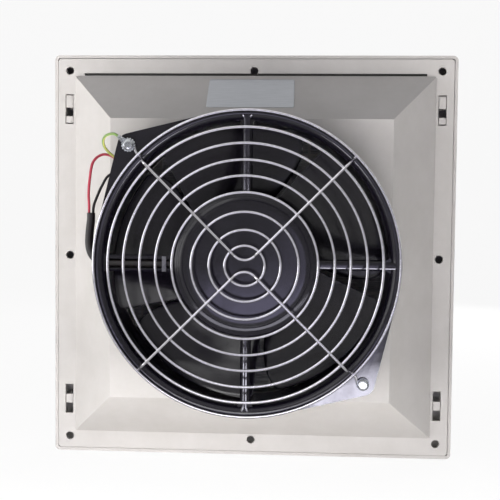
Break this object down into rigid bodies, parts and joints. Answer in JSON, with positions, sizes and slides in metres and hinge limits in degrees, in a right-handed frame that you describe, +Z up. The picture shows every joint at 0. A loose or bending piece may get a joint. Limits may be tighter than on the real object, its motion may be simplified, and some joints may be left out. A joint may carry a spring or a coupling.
{
  "type": "filter fan unit",
  "caption": "Cabinet filter fan: square moulded base with funnel, round axial fan with wire finger guard, and a louvred cover with filter mat.",
  "frame": {"origin": "centre of the corner screw pattern, on the flange face that lies on the cabinet wall", "axes": "+X right seen from inside the cabinet, +Z up, -Y into the cabinet, where the fan is"},
  "size_m": [0.325, 0.1335, 0.325],
  "materials": {
    "housing_abs": "moulded ABS, warm light grey, fine satin",
    "fan_black": "glossy black lacquer on die-cast aluminium",
    "rotor_black": "black lacquer on pressed steel",
    "chrome_wire": "bright chrome-plated steel wire",
    "zinc_steel": "bright zinc-plated steel",
    "bearing_steel": "ground bearing steel",
    "lamination_steel": "stacked electrical steel",
    "copper_winding": "enamelled copper wire",
    "lead_red": "red PVC insulation",
    "lead_black": "black PVC insulation",
    "lead_green_yellow": "green and yellow striped PVC insulation",
    "sleeve_black": "black varnished sleeving",
    "terminal_plastic": "moulded polyamide",
    "rating_foil": "blank silver-grey foil",
    "filter_fibre": "white non-woven polyester fibre"
  },
  "bodies": {
    "unit": {"base_frame": "housing_abs", "mat_grid": "housing_abs", "rating_plate": "rating_foil", "fan_frame": "fan_black", "motor_cover": "fan_black", "bearing_tube": "zinc_steel", "stator_core": "lamination_steel", "stator_windings": "copper_winding", "bearing_outer_races": "bearing_steel", "bearing_balls": "bearing_steel", "guard_rings": "chrome_wire", "guard_wires": "chrome_wire", "fan_screws": "zinc_steel", "head_washer": "zinc_steel", "plate_washers": "zinc_steel", "fan_nuts": "zinc_steel", "earth_lug": "zinc_steel", "terminal_block": "terminal_plastic", "terminal_screws": "zinc_steel", "lead_clip": "zinc_steel", "lead_red": "lead_red", "lead_black": "lead_black", "lead_earth": "lead_green_yellow", "lead_sleeve": "sleeve_black"},
    "rotor": {"rotor_shaft": "bearing_steel", "rotor_cup": "rotor_black", "cage_ring": "lamination_steel", "bearing_inner_races": "bearing_steel", "shaft_circlip": "zinc_steel", "preload_washer": "zinc_steel", "blade_1": "rotor_black", "blade_2": "rotor_black", "blade_3": "rotor_black", "blade_4": "rotor_black", "blade_5": "rotor_black"},
    "cover": {"louvre_cover": "housing_abs", "filter_mat": "filter_fibre"}
  },
  "joints": [
    {"name": "impeller_spin", "type": "hinge", "parent": "unit", "child": "rotor", "pos_m": [0, -0.065, 0], "axis": [0, -1, 0], "continuous": true},
    {"name": "cover_pull", "type": "slide", "parent": "unit", "child": "cover", "axis": [0, 1, 0], "range_m": [0, 0.03]}
  ]
}
